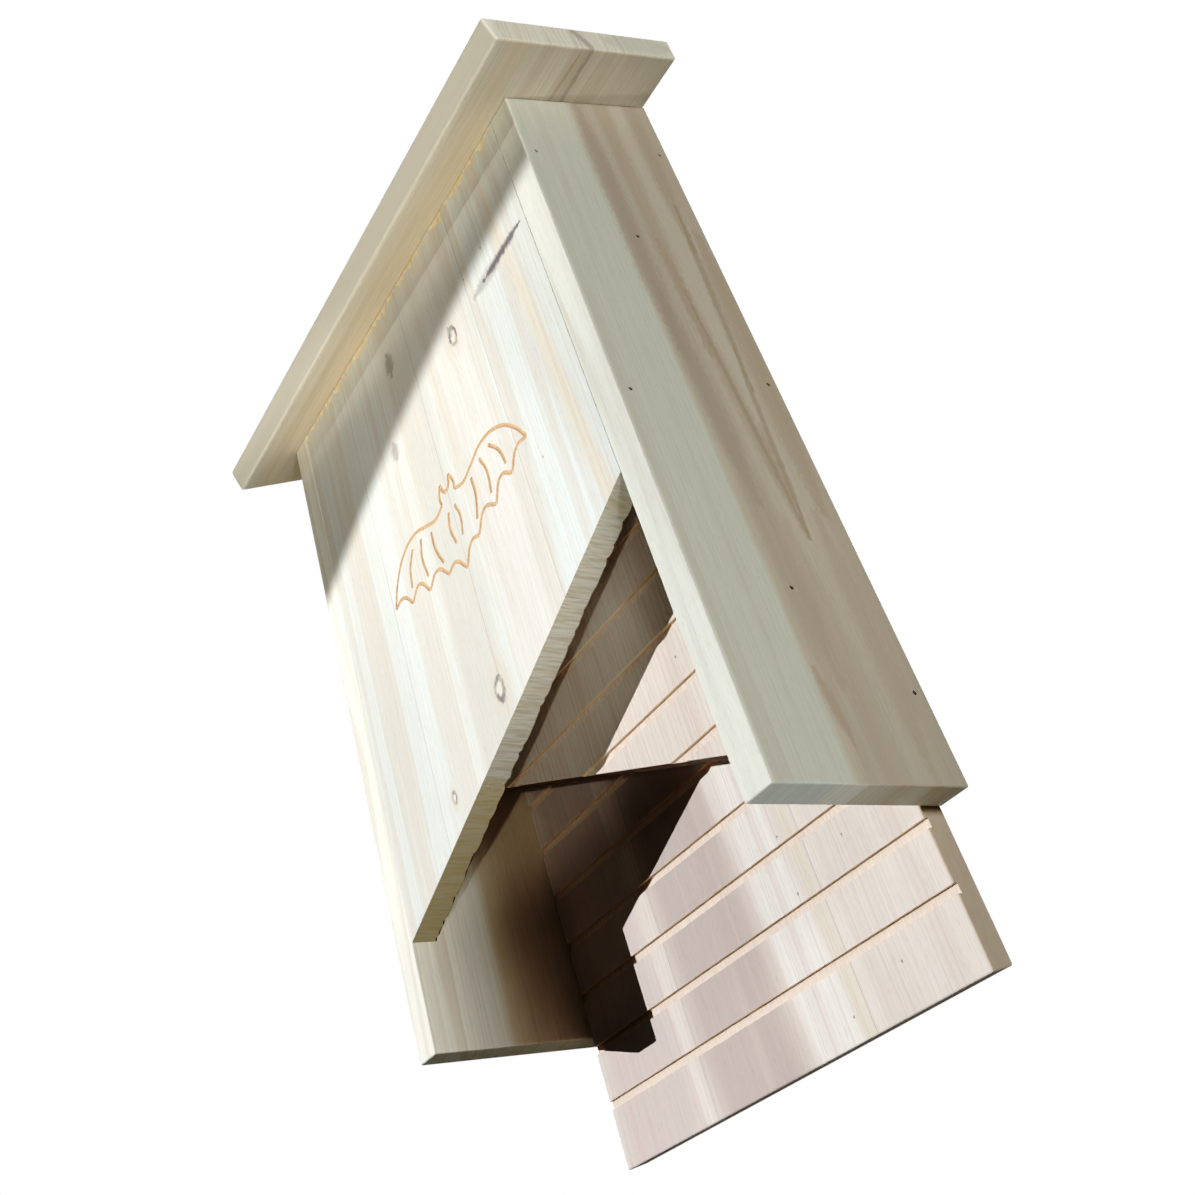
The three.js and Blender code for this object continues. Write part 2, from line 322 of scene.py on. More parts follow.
def build_growth_rings():
    """Yearly rings round a pith line, in millimetres with the grain along Z."""
    tree, given, out = effect_group(
        "growth rings",
        [("Point", (0, 0, 0)), ("Pith", (0, 0, 0)), ("Lean", (0, 0, 0)), ("Ring", 2.0), ("Wander", 2.0)],
        [(label, "NodeSocketFloat") for label in ("Late wood", "Year", "Fibre", "Streak", "Pores")])
    slow_swing, quick_swing, uneven_years = 2.4, 0.35, 2.2
    late_rise, late_fall, pore_range = (0.3, 0.92), (1.0, 0.93), (0.58, 0.72)
    point = given["Point"]
    leaning = scaled(tree, given["Lean"], parts_of(tree, point)["Z"])
    from_pith = calc_vector(tree, "SUBTRACT", calc_vector(tree, "SUBTRACT", point, leaning), given["Pith"])
    radius = length_of(tree, calc_vector(tree, "MULTIPLY", from_pith, (1, 1, 0)))
    slow = swinging_noise(tree, point, (0.03, 0.03, 0.005))
    quick = swinging_noise(tree, point, (0.2, 0.2, 0.02))
    swing = calc(tree, "ADD", times(tree, slow, slow_swing), times(tree, quick, quick_swing))
    count = calc(tree, "DIVIDE", calc(tree, "MULTIPLY_ADD", swing, given["Wander"], radius), given["Ring"])
    uneven = add_node(tree, "ShaderNodeTexNoise", {"W": count, "Scale": 0.45, "Detail": 1.0},
                      noise_dimensions="1D").outputs["Fac"]
    years = calc(tree, "MULTIPLY_ADD", uneven, uneven_years, count)
    part = calc(tree, "FRACT", years)
    late = times(tree, ramp(tree, part, *late_rise), ramp(tree, part, *late_fall))
    whole_year = calc(tree, "FLOOR", years)
    luck = add_node(tree, "ShaderNodeTexWhiteNoise", {"W": whole_year}, noise_dimensions="1D").outputs
    tree.links.new(late, out["Late wood"])
    tree.links.new(luck["Value"], out["Year"])
    tree.links.new(stretched_noise(tree, point, (2.4, 2.4, 0.05), 3.0), out["Fibre"])
    tree.links.new(stretched_noise(tree, point, (0.11, 0.11, 0.004), 3.0), out["Streak"])
    tree.links.new(ramp(tree, stretched_noise(tree, point, (3.2, 3.2, 0.3)), *pore_range), out["Pores"])
    return tree


def build_knot():
    """A knot that runs through the thickness, with the grain swerving round it.

    Distances are in radii. An edge is where a part has faded out and where it is full.
    """
    core_edge, halo_edge, swerve_edge, rim_edge = (0.8, 0.5), (3.2, 0.9), (4.0, 0.9), (0.42, 0.08)
    rim_place, wobble_share, most_swerve, faintest_rim = 0.85, 0.7, 0.8, 0.35
    tree, given, out = effect_group(
        "knot",
        [("Point", (0, 0, 0)), ("Centre", (0, 0, 0)), ("Shape", (1, 0, 1)), ("Radius", 3.0)],
        [("Point", "NodeSocketVector"), ("Core", "NodeSocketFloat"), ("Rim", "NodeSocketFloat"),
         ("Halo", "NodeSocketFloat")])
    flat = calc_vector(tree, "MULTIPLY",
                       calc_vector(tree, "SUBTRACT", given["Point"], given["Centre"]), given["Shape"])
    wobble = swinging_noise(tree, given["Point"], (0.5, 0.5, 0.5))
    distance = calc(tree, "MULTIPLY_ADD", wobble, wobble_share,
                    calc(tree, "DIVIDE", length_of(tree, flat), given["Radius"]))
    tree.links.new(ramp(tree, distance, *core_edge), out["Core"])
    patches = stretched_noise(tree, given["Point"], (0.35, 0.35, 0.25))
    patchy = ramp(tree, patches, 0.35, 0.6, faintest_rim, 1.0)
    from_rim = calc(tree, "ABSOLUTE", less(tree, distance, rim_place))
    tree.links.new(times(tree, patchy, ramp(tree, from_rim, *rim_edge)), out["Rim"])
    tree.links.new(ramp(tree, distance, *halo_edge), out["Halo"])
    pull = ramp(tree, distance, *swerve_edge, 0.0, most_swerve)
    swerve = scaled(tree, calc_vector(tree, "MULTIPLY", flat, (1, 1, 0)), pull)
    tree.links.new(calc_vector(tree, "SUBTRACT", given["Point"], swerve), out["Point"])
    return tree


def build_stain_line():
    """A dark line of pitch or late wood between two points, ragged along its sides."""
    tree, given, out = effect_group(
        "stain line",
        [("Point", (0, 0, 0)), ("Start", (0, 0, 0)), ("End", (1, 0, 0)), ("Shape", (1, 0, 1)),
         ("Width", 1.0)],
        [("Mask", "NodeSocketFloat")])
    taper, tip_share, line_edge = (0.5, 0.2), 0.35, (1.1, 0.2)
    away = calc_vector(tree, "MULTIPLY",
                       calc_vector(tree, "SUBTRACT", given["Point"], given["Start"]), given["Shape"])
    run = calc_vector(tree, "SUBTRACT", given["End"], given["Start"])
    progress = calc(tree, "DIVIDE", dot_of(tree, away, run), dot_of(tree, run, run))
    share = add_node(tree, "ShaderNodeClamp", {0: progress}).outputs[0]
    distance = length_of(tree, calc_vector(tree, "SUBTRACT", away, scaled(tree, run, share)))
    wobble = swinging_noise(tree, given["Point"], (0.9, 0.9, 0.35), 3.0)
    distance = calc(tree, "MULTIPLY_ADD", wobble, given["Width"], distance)
    from_middle = calc(tree, "ABSOLUTE", less(tree, share, 0.5))
    width = times(tree, ramp(tree, from_middle, *taper, tip_share, 1.0), given["Width"])
    tree.links.new(ramp(tree, calc(tree, "DIVIDE", distance, width), *line_edge), out["Mask"])
    return tree


def build_grain_band():
    """A soft band of another tone that runs with the grain and leans a little."""
    tree, given, out = effect_group(
        "grain band",
        [("Across", 0.0), ("Along", 0.0), ("Centre", 0.0), ("Half width", 5.0), ("Softness", 1.0),
         ("Lean", 0.0)],
        [("Mask", "NodeSocketFloat")])
    drift_rate = 0.014
    waves = {"W": calc(tree, "MULTIPLY_ADD", given["Along"], drift_rate, given["Centre"]), "Scale": 1.0}
    drift = add_node(tree, "ShaderNodeTexNoise", waves, noise_dimensions="1D").outputs["Fac"]
    place = less(tree, given["Across"], times(tree, given["Lean"], given["Along"]))
    place = less(tree, place, given["Centre"])
    drift = less(tree, drift, noise_middle)
    place = calc(tree, "MULTIPLY_ADD", drift, given["Softness"], place)
    outer = calc(tree, "ADD", given["Half width"], given["Softness"])
    inner = less(tree, given["Half width"], given["Softness"])
    tree.links.new(ramp(tree, calc(tree, "ABSOLUTE", place), outer, inner), out["Mask"])
    return tree


def build_glue_line():
    """A glued joint between two staves: which side a place is on, and the thin line itself."""
    tree, given, out = effect_group(
        "glue line", [("Across", 0.0), ("Joint", 0.0), ("Width", 0.3)],
        [("Past", "NodeSocketFloat"), ("Line", "NodeSocketFloat")])
    offset = less(tree, given["Across"], given["Joint"])
    tree.links.new(calc(tree, "GREATER_THAN", offset, 0.0), out["Past"])
    tree.links.new(ramp(tree, calc(tree, "ABSOLUTE", offset), given["Width"], 0.0), out["Line"])
    return tree


growth_rings = build_growth_rings()
knot = build_knot()
stain_line = build_stain_line()
grain_band = build_grain_band()
glue_line = build_glue_line()


def fir(name, early, late, streak, figure, staves=(), knots=(), bands=(), lines=(), grain_turn=(0, 0, 0)):
    """Bare planed fir as a solid pattern, so faces show the figure and sawn ends show the rings.

    Colours are linear. Places are in millimetres, along the board's own grain after grain_turn.
    A knot is (centre, radius, shape), a band is (centre, half width, softness, lean, strength,
    colour), and a line is (start, end, shape, width, strength, colour). A shape weighs the
    distances along the axes: 0 carries a mark right through the board, under 1 makes it longer.
    """
    material, tree, shader = new_material(name)
    coordinates = add_node(tree, "ShaderNodeTexCoord").outputs
    board_point = add_node(tree, "ShaderNodeMapping", {
        "Vector": coordinates["Object"], "Scale": (1 / MM,) * 3, "Rotation": grain_turn}).outputs[0]
    normal = add_node(tree, "ShaderNodeMapping", {
        "Vector": coordinates["Normal"], "Rotation": grain_turn}).outputs[0]
    across = parts_of(tree, board_point)[figure.get("across", "X")]
    along = parts_of(tree, board_point)["Z"]
    end_facing = (0.6, 0.85)
    end_grain = ramp(tree, calc(tree, "ABSOLUTE", parts_of(tree, normal)["Z"]), *end_facing)

    grain_point = board_point
    core = rim = halo = joint = 0.0
    for centre, radius, shape in knots:
        one = effect(tree, knot, {
            "Point": grain_point, "Centre": centre, "Shape": shape, "Radius": radius})
        grain_point = one["Point"]
        core = calc(tree, "MAXIMUM", core, one["Core"])
        rim = calc(tree, "MAXIMUM", rim, one["Rim"])
        halo = calc(tree, "MAXIMUM", halo, one["Halo"])
    stave = figure["seed"]
    for place in staves:
        one = effect(tree, glue_line, {"Across": across, "Joint": place})
        stave = calc(tree, "ADD", stave, one["Past"])
        joint = calc(tree, "MAXIMUM", joint, one["Line"])
    luck = add_node(tree, "ShaderNodeTexWhiteNoise", {"W": stave}, noise_dimensions="1D").outputs
    centred = calc_vector(tree, "SUBTRACT", luck["Color"], (0.5, 0.5, 0.5))
    shift = calc_vector(tree, "MULTIPLY", centred, figure.get("spread", (0, 0, 0)))
    rings = effect(tree, growth_rings, {
        "Point": grain_point, "Pith": calc_vector(tree, "ADD", shift, figure["pith"]),
        "Lean": figure["lean"], "Ring": figure["ring"], "Wander": figure["wander"]})

    colour = early
    for centre, half_width, softness, lean, strength, tone in bands:
        band = effect(tree, grain_band, {
            "Across": across, "Along": along, "Centre": centre, "Half width": half_width,
            "Softness": softness, "Lean": lean})["Mask"]
        colour = mixed(tree, times(tree, band, strength), colour, tone)
    streaky = ramp(tree, rings["Streak"], *figure["streak_range"])
    colour = mixed(tree, times(tree, streaky, figure["streak_share"]), colour, streak)
    saw_mark_waves, saw_mark_edge = (1.1, 0.08, 1.1), (0.38, 0.62)
    saw_marks = ramp(tree, stretched_noise(tree, board_point, saw_mark_waves, 3.0), *saw_mark_edge)
    marked = figure.get("saw_mark_colour", figure["end_colour"])
    end_colour = mixed(tree, saw_marks, figure["end_colour"], marked)
    end_amount = times(tree, end_grain, figure.get("end_share", 0.6))
    colour = mixed(tree, end_amount, colour, end_colour)
    contrast = ramp(tree, end_grain, 0.0, 1.0, figure["contrast"], figure["end_contrast"])
    faintest_year = 0.3
    year = calc(tree, "MULTIPLY_ADD", rings["Year"], 1 - faintest_year, faintest_year)
    late_amount = times(tree, times(tree, rings["Late wood"], year), contrast)
    colour = mixed(tree, late_amount, colour, late)

    fibre_shade, pore_shade, glue_line_shade = 0.93, 0.9, 0.74
    halo_share, core_share, rim_share = 0.4, 0.6, 0.85
    shade = ramp(tree, luck["Value"], 0.0, 1.0, 1 - figure.get("stave_shade", 0.0), 1.0)
    shade = times(tree, shade, ramp(tree, rings["Fibre"], 0.3, 0.7, fibre_shade, 1.0))
    shade = times(tree, shade, ramp(tree, rings["Pores"], 0.0, 1.0, 1.0, pore_shade))
    shade = times(tree, shade, ramp(tree, joint, 0.0, 1.0, 1.0, glue_line_shade))
    colour = darkened(tree, colour, shade)
    colour = mixed(tree, times(tree, halo, halo_share), colour, late)
    colour = mixed(tree, times(tree, core, core_share), colour, knot_core_colour)
    colour = mixed(tree, times(tree, rim, rim_share), colour, knot_rim_colour)
    for start, end, shape, width, strength, tone in lines:
        line = effect(tree, stain_line, {
            "Point": board_point, "Start": start, "End": end, "Shape": shape, "Width": width})["Mask"]
        colour = mixed(tree, times(tree, line, strength), colour, tone)
    tree.links.new(colour, shader.inputs["Base Color"])

    planed_roughness, fibre_roughness, end_roughness = 0.5, 0.2, 0.15
    late_height, pore_depth, joint_depth, rim_depth = 0.25, 0.35, 0.6, 0.6
    rough = calc(tree, "MULTIPLY_ADD", rings["Fibre"], fibre_roughness, planed_roughness)
    rough = calc(tree, "MULTIPLY_ADD", end_grain, end_roughness, rough)
    tree.links.new(rough, shader.inputs["Roughness"])
    shader.inputs["Specular IOR Level"].default_value = 0.3
    relief = calc(tree, "MULTIPLY_ADD", rings["Late wood"], late_height, rings["Fibre"])
    relief = less(tree, relief, times(tree, rings["Pores"], pore_depth))
    relief = less(tree, relief, times(tree, joint, joint_depth))
    relief = less(tree, relief, times(tree, rim, rim_depth))
    bump = add_node(tree, "ShaderNodeBump", {"Height": relief, "Strength": 0.6, "Distance": grain_relief})
    tree.links.new(bump.outputs[0], shader.inputs["Normal"])
    return material


def cut_fir(name, colour, second, underside, roughness):
    """Fir where a cutter or a tear left it: short fibres in two tones, and a third where it faces down,
    which is painted shade.
    """
    material, tree, shader = new_material(name)
    coordinates = add_node(tree, "ShaderNodeTexCoord").outputs
    place = scaled(tree, coordinates["Object"], 1 / MM)
    fibre_waves, downward = (1.5, 1.5, 0.25), (-0.4, -0.8)
    fibres = stretched_noise(tree, place, fibre_waves, 3.0)
    fresh = mixed(tree, ramp(tree, fibres, 0.35, 0.65), colour, second)
    facing = parts_of(tree, coordinates["Normal"])["Z"]
    # Faces that look down take the third tone: painted shade
    shown = mixed(tree, ramp(tree, facing, *downward), fresh, underside)
    tree.links.new(shown, shader.inputs["Base Color"])
    shader.inputs["Roughness"].default_value = roughness
    shader.inputs["Specular IOR Level"].default_value = 0.2
    bump = add_node(tree, "ShaderNodeBump", {"Height": fibres, "Strength": 0.8, "Distance": fibre_relief})
    tree.links.new(bump.outputs[0], shader.inputs["Normal"])
    return material


def pin_knots(places):
    """Pin knots: tiny dark specks through a panel, as short strokes with the grain."""
    reach, width, strength, tone = 0.4, 0.55, 0.85, (0.25, 0.18, 0.14, 1)
    return tuple(((x, 0, z - reach), (x, 0, z + reach), (1, 0, 1), width, strength, tone)
                 for x, z in places)


groove_fir = cut_fir(
    "groove_fir", (0.86, 0.77, 0.69, 1), (0.78, 0.66, 0.56, 1), (0.85, 0.64, 0.45, 1), roughness=0.8)
back_fir = fir(
    "back_fir", early=(0.86, 0.79, 0.73, 1), late=(0.66, 0.50, 0.42, 1), streak=(0.75, 0.63, 0.58, 1),
    figure={"pith": (-290, 60, 0), "lean": (0.004, 0.01, 0), "ring": 2.1, "wander": 2.2,
            "contrast": 0.3, "end_contrast": 0.7, "end_colour": (0.95, 0.93, 0.85, 1), "end_share": 0.9,
            "streak_range": (0.48, 0.65), "streak_share": 0.4, "stave_shade": 0.05,
            "spread": (160, 60, 0), "seed": 3.0},
    staves=(-34.5, 42.5),
    bands=((-64, 22, 8, 0.02, 0.9, (0.70, 0.61, 0.58, 1)),
           (-38, 4.5, 1, -0.06, 0.7, (0.89, 0.84, 0.78, 1)),
           (-12, 21, 8, -0.05, 0.95, (0.61, 0.52, 0.49, 1)),
           (3, 8, 5, -0.05, 0.4, (0.56, 0.46, 0.42, 1)),
           (24, 10, 2, -0.08, 0.9, (0.95, 0.93, 0.88, 1)),
           (39, 2.6, 1.2, -0.02, 0.6, (0.86, 0.79, 0.64, 1)),
           (66, 17, 4, 0.03, 0.6, (0.80, 0.75, 0.69, 1)),
           (89.3, 1.6, 0.5, 0.0, 1.0, (0.64, 0.53, 0.40, 1))),
    lines=pin_knots(((33.2, 18.4), (32.3, 13.4), (32.9, -0.3), (57.9, 7.0), (60.8, -32.9),
                     (36.2, -39.3))))

back_panel = blank("back_board", back_low - Vector((0, 0, 2 * overrun)), back_high)
saw_off(back_panel, Vector((0, back_high.y, back_high.z)), roof_up)
saw_off(back_panel, back_low, Vector((-back_end_drop, back_end_rise, -1)).normalized())
ease_edges(back_panel, eased_edge)
back_panel.data.materials.append(back_fir)
cut_away(back_panel, groove_cutters(
    back_low, back_high, back_first_groove, seed=11, sawn=groove_fir))
cut_away(back_panel, keyhole_cutters(), overlapping=True)
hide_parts("back_panel")
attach(back_panel, "root")

# Inner partition
# A fir board halfway back, nailed between the side boards. Its front face has the same ladder
# grooves, and its bottom end is sawn off at a slant, high at the left, with a torn rear edge.
partition_low, partition_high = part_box("inner_partition")
partition_cut_right = 19 * MM
partition_cut_left = 97 * MM
partition_first_groove = 5.3 * MM
tear_depth = 1.7 * MM
tear_height = 1.4 * MM
tear_pitch = 0.95 * MM
least_bite = 0.15 * MM
narrowest_step_share = 0.3
deep_bite_shares = (0.6, 1)
slight_bite_shares = (0.08, 0.5)
rise_shares = (0.5, 1)
upper_depth_share = 0.6
inner_height_share = 0.8
lap_share = 0.1


def slant(low, high, left_height, right_height):
    """Where a slanted end is sawn: its two ends at the board's sides, and the way down out of it."""
    left = Vector((low.x, 0, left_height))
    right = Vector((high.x, 0, right_height))
    run = right - left
    return left, right, Vector((run.z, 0, -run.x)).normalized()


def torn_edge_cutter(start, end, into, along, depth, height, seed, deep_share):
    """A ragged strip that tears fibres off an edge from start to end.

    Each step takes its own bite: so deep into the board, and so high along the grain. Most bites
    are slight, and the given share of them goes deep.
    """
    draw = random.Random(seed)
    steps = round((end - start).length / tear_pitch)
    cutter = blank("tear", Vector((0, 0, 0)), Vector((1, 1, 1)))
    stations = 2 * steps - 1
    split_along_x(cutter, stations - 1)
    widths = [narrowest_step_share + draw.random() for _ in range(steps)]
    edges = [sum(widths[:i]) / sum(widths) for i in range(steps + 1)]
    bites = [draw.uniform(*(deep_bite_shares if draw.random() < deep_share else slight_bite_shares))
             for _ in range(steps)]
    rises = [draw.uniform(*rise_shares) for _ in range(steps)]
    lap = lap_share / steps
    for point in cutter.data.vertices:
        station = round(point.co.x * stations)
        step = station // 2
        place = edges[step] + lap if station % 2 == 0 else edges[step + 1] - lap
        deep = bites[step] * depth + least_bite
        high = bites[step] * rises[step] * height + least_bite
        inner, upper = point.co.y > 0.5, point.co.z > 0.5
        reach, climb = {
            (False, False): (-overrun, -overrun),
            (True, False): (deep, -overrun),
            (False, True): (-overrun, high),
            (True, True): (deep * upper_depth_share, high * inner_height_share),
        }[(inner, upper)]
        point.co = start.lerp(end, place) + into * reach + along * climb
    return cutter


def tear_rear_edge(board, left_end, right_end, rear, seed, deep_share):
    """Tears the rear edge of a slanted end, where the saw came through. The torn faces are painted near
    black as shadow.
    """
    behind = Vector((0, rear, 0))
    tear = torn_edge_cutter(
        left_end + behind, right_end + behind, Vector((0, -1, 0)), Vector((0, 0, 1)),
        tear_depth, tear_height, seed, deep_share)
    tear.data.materials.append(painted_shadow_fir)
    cut_away(board, [tear])


# The partition's end grain is painted near black: painted shade on its sawn bottom end
partition_fir = fir(
    "partition_fir", early=(0.85, 0.77, 0.69, 1), late=(0.60, 0.45, 0.36, 1), streak=(0.70, 0.56, 0.49, 1),
    figure={"pith": (330, 30, 0), "lean": (0.006, 0.0, 0), "ring": 2.2, "wander": 2.0,
            "contrast": 0.35, "end_contrast": 0.3, "end_colour": (0.10, 0.07, 0.05, 1), "end_share": 1.0,
            "streak_range": (0.46, 0.64), "streak_share": 0.45, "stave_shade": 0.08,
            "spread": (100, 60, 0), "seed": 8.0},
    staves=(-30, 66),
    bands=((80, 7, 2, 0.0, 0.7, (0.66, 0.54, 0.52, 1)),
           (56, 8, 2, -0.04, 0.5, (0.88, 0.81, 0.74, 1))),
    lines=pin_knots(((73, 66), (51, 71))))
# Near-black fir on the torn rear edges: painted shadow, for the shade that falls beside those edges
painted_shadow_fir = cut_fir(
    "painted_shadow_fir", (0.16, 0.11, 0.08, 1), (0.10, 0.07, 0.05, 1), (0.10, 0.07, 0.05, 1), roughness=0.85)

partition = blank("partition_board", partition_low - Vector((0, 0, overrun)), partition_high)
saw_off(partition, Vector((0, partition_high.y, partition_high.z)), roof_up)
left_end, right_end, down = slant(
    partition_low, partition_high, partition_cut_left, partition_cut_right)
saw_off(partition, left_end, down)
ease_edges(partition, eased_edge / 2)
partition.data.materials.append(partition_fir)
cut_away(partition, groove_cutters(
    Vector((partition_low.x, partition_low.y, partition_cut_right)), partition_high,
    partition_first_groove, seed=12, sawn=groove_fir))
tear_rear_edge(partition, left_end, right_end, partition_high.y, seed=21, deep_share=0.15)
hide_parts("inner_partition")
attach(partition, "root")

# Front panel
# Planed fir staves glued edge to edge, flush with the side boards' front edges. The saw came
# through at the rear of the slanted end and tore it, and a bat is routed into the face.
front_cut_right = 109.5 * MM
front_cut_left = 39 * MM
figure_centre = Vector((2.5, 157))
joint_gap = 0.19 * MM
fine_edge = 0.12 * MM
router_radius = 0.9 * MM
router_depth = 0.5 * MM
top_tear_depth = 0.5 * MM
top_tear_height = 7 * MM
through_front = (1, 0, 0.6)

front_fir = fir(
    "front_fir", early=(0.83, 0.87, 0.84, 1), late=(0.72, 0.63, 0.50, 1), streak=(0.77, 0.73, 0.66, 1),
    figure={"pith": (290, -40, 0), "lean": (0.0, 0.0, 0), "ring": 2.1, "wander": 1.8,
            "contrast": 0.34, "end_contrast": 0.5, "end_colour": (0.57, 0.58, 0.52, 1), "end_share": 0.9,
            "saw_mark_colour": (0.43, 0.40, 0.29, 1),
            "streak_range": (0.46, 0.6), "streak_share": 0.7, "stave_shade": 0.04,
            "spread": (120, 90, 0), "seed": 1.0},
    staves=(-50, 3, 47),
    knots=(((31.8, 0, 221.4), 2.6, through_front), ((1.6, 0, 88), 2.8, through_front),
           ((-40, 0, 70), 1.5, through_front)),
    bands=((60, 13, 3, 0.0, 0.8, (0.86, 0.93, 0.92, 1)),
           (-6, 14, 5, 0.0, 0.8, (0.72, 0.71, 0.65, 1)),
           (89.4, 3.2, 2.5, -0.074, 0.6, (0.88, 0.76, 0.58, 1)),
           (28, 13, 4, 0.0, 0.45, (0.86, 0.79, 0.74, 1)),
           (43, 1.5, 0.8, 0.03, 0.8, (0.93, 0.95, 0.92, 1)),
           (-25, 6, 3, 0.02, 0.4, (0.90, 0.90, 0.86, 1)),
           (-70, 5, 2.5, 0.01, 0.35, (0.84, 0.76, 0.64, 1))),
    lines=(((50.5, 0, 223.3), (72, 0, 224.2), (1, 0, 1), 4.0, 0.6, (0.40, 0.36, 0.34, 1)),
           ((58, 0, 223.9), (85, 0, 225.4), (1, 0, 1), 2.5, 0.9, (0.12, 0.10, 0.11, 1)),
           ((-12, 0, 243), (-12, 0, 250), (1, 0, 0.7), 4.6, 0.7, (0.28, 0.26, 0.24, 1)),
           ((-23, 0, 207), (-23, 0, 213), (1, 0, 0.7), 3.4, 0.6, (0.30, 0.28, 0.25, 1)),
           ((30.3, 0, 227), (31.5, 0, 224), (1, 0, 0.7), 2.4, 0.55, (0.26, 0.24, 0.22, 1)),
           ((-96, 0, 35.9), (-20, 0, 66.2), (1, 0, 1), 0.5, 0.6, (0.42, 0.33, 0.18, 1)))
    + pin_knots(((47.4, 235.6), (61.6, 237.4), (89, 229), (58, 141))))
routed_fir = cut_fir(
    "routed_fir", (0.72, 0.51, 0.31, 1), (0.58, 0.38, 0.21, 1), (0.46, 0.30, 0.17, 1), roughness=0.8)
# Torn fibres along the front panel's top: their pale yellow is partly their own colour and partly painted
# bounced light
torn_fir_painted_light = cut_fir(
    "torn_fir_painted_light", (1.0, 0.93, 0.72, 1), (0.90, 0.74, 0.46, 1), (0.90, 0.74, 0.46, 1), roughness=0.85)

# Half of the bat, in millimetres from its own centre: outline strokes, wing bones and body strokes
bat_strokes = (
    ((0, 14.4), (1.5, 15.0), (3.4, 19.3)),
    ((3.4, 19.3), (5.4, 14.6), (5.0, 11.4)),
    ((5.0, 11.4), (11, 9.6), (18, 11.8), (27, 14.6), (38, 12.2), (46, 5.4), (51, -3)),
    ((51, -3), (44.5, -2.4), (38.5, -8.4)),
    ((38.5, -8.4), (32, -5.0), (25.5, -11.8)),
    ((25.5, -11.8), (18.5, -8.4), (11.5, -14.6)),
    ((11.5, -14.6), (6.5, -13.4), (0, -20)),
    ((30.5, 10.4), (35, 4.5), (36.8, -3)),
    ((23.5, 10), (25.6, 3), (24.6, -6.4)),
    ((16, 7.4), (16, 0), (13, -8.6)),
    ((2.4, 6), (4.0, 0), (2.4, -7.6)),
)


def routed_stroke(points, side):
    """A round-nosed cut along a smooth line, just below the panel's face."""
    line = bpy.data.curves.new("stroke", "CURVE")
    line.dimensions = "3D"
    line.bevel_depth = router_radius
    line.bevel_resolution = 3
    line.resolution_u = 10
    line.use_fill_caps = True
    spline = line.splines.new("BEZIER")
    spline.bezier_points.add(len(points) - 1)
    sink = front_low.y - router_radius + router_depth
    for knob, (x, z) in zip(spline.bezier_points, points):
        knob.co = ((side * x + figure_centre.x) * MM, sink, (z + figure_centre.y) * MM)
        knob.handle_left_type = knob.handle_right_type = "AUTO"
    stroke = bpy.data.objects.new("stroke", line)
    bpy.context.collection.objects.link(stroke)
    make_active(stroke)
    bpy.ops.object.convert(target="MESH")
    outward_faces(stroke)
    stroke.data.materials.append(routed_fir)
    return stroke


snug = Vector((joint_gap, 0, 0))
front_panel = blank("front_board", front_low - snug - Vector((0, 0, overrun)), front_high + snug)
saw_off(front_panel, Vector((0, front_high.y, front_high.z)), roof_up)
left_end, right_end, down = slant(front_low, front_high, front_cut_left, front_cut_right)
saw_off(front_panel, left_end, down)
ease_edges(front_panel, fine_edge)
front_panel.data.materials.append(front_fir)
tear_rear_edge(front_panel, left_end, right_end, front_high.y, seed=31, deep_share=0.3)
front_top = front_high.z + (front_low.y - front_high.y) * roof_slope
top_tear = torn_edge_cutter(
    Vector((front_low.x, front_low.y, front_top)), Vector((front_high.x, front_low.y, front_top)),
    Vector((0, 1, 0)), Vector((0, 0, -1)), top_tear_depth, top_tear_height, seed=32, deep_share=0.5)
top_tear.data.materials.append(torn_fir_painted_light)
cut_away(front_panel, [top_tear])
bat_cutters = [routed_stroke(points, side) for points in bat_strokes for side in (1, -1)]
cut_away(front_panel, bat_cutters, overlapping=True)
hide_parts("front_panel")
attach(front_panel, "root")

# Side boards
# Two upright fir boards, outermost, full depth, with their top ends bevelled to the roof. Brads
# driven through them into the three panels leave small dark holes in their outer faces.
brad_hole_radius = 0.75 * MM
brad_hole_depth = 0.6 * MM
through_side = (0, 1, 0.6)


def brad_hole(point, direction):
    turn = direction.to_track_quat("Z", "Y").to_euler()
    deselect_all()
    bpy.ops.mesh.primitive_cylinder_add(
        vertices=20, radius=brad_hole_radius, depth=2 * brad_hole_depth, location=point, rotation=turn)
    return bpy.context.object


def side_board(node, name, sign, material):
    low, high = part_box(node)
    board = blank(name, low, high)
    saw_off(board, Vector((0, high.y, high.z)), roof_up)
    ease_edges(board, eased_edge)
    board.data.materials.append(material)
    side_word = "_brad_right_" if sign > 0 else "_brad_left_"
    outer = high.x if sign > 0 else low.x
    holes = []
    for brad in sorted(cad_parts):
        if side_word in brad and not brad.startswith("roof"):
            brad_low, brad_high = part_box(brad)
            middle = (brad_low + brad_high) / 2
            holes.append(brad_hole(Vector((outer, middle.y, middle.z)), Vector((sign, 0, 0))))
    cut_away(board, holes)
    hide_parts(node)
    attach(board, "root")


def flame(y, z, end_y, end_z, width, strength, tone=(0.44, 0.35, 0.25, 1)):
    """Brown heartwood that runs down a side board and narrows at both its ends."""
    return ((0, y, z), (0, end_y, end_z), (0, 1, 1), width, strength, tone)


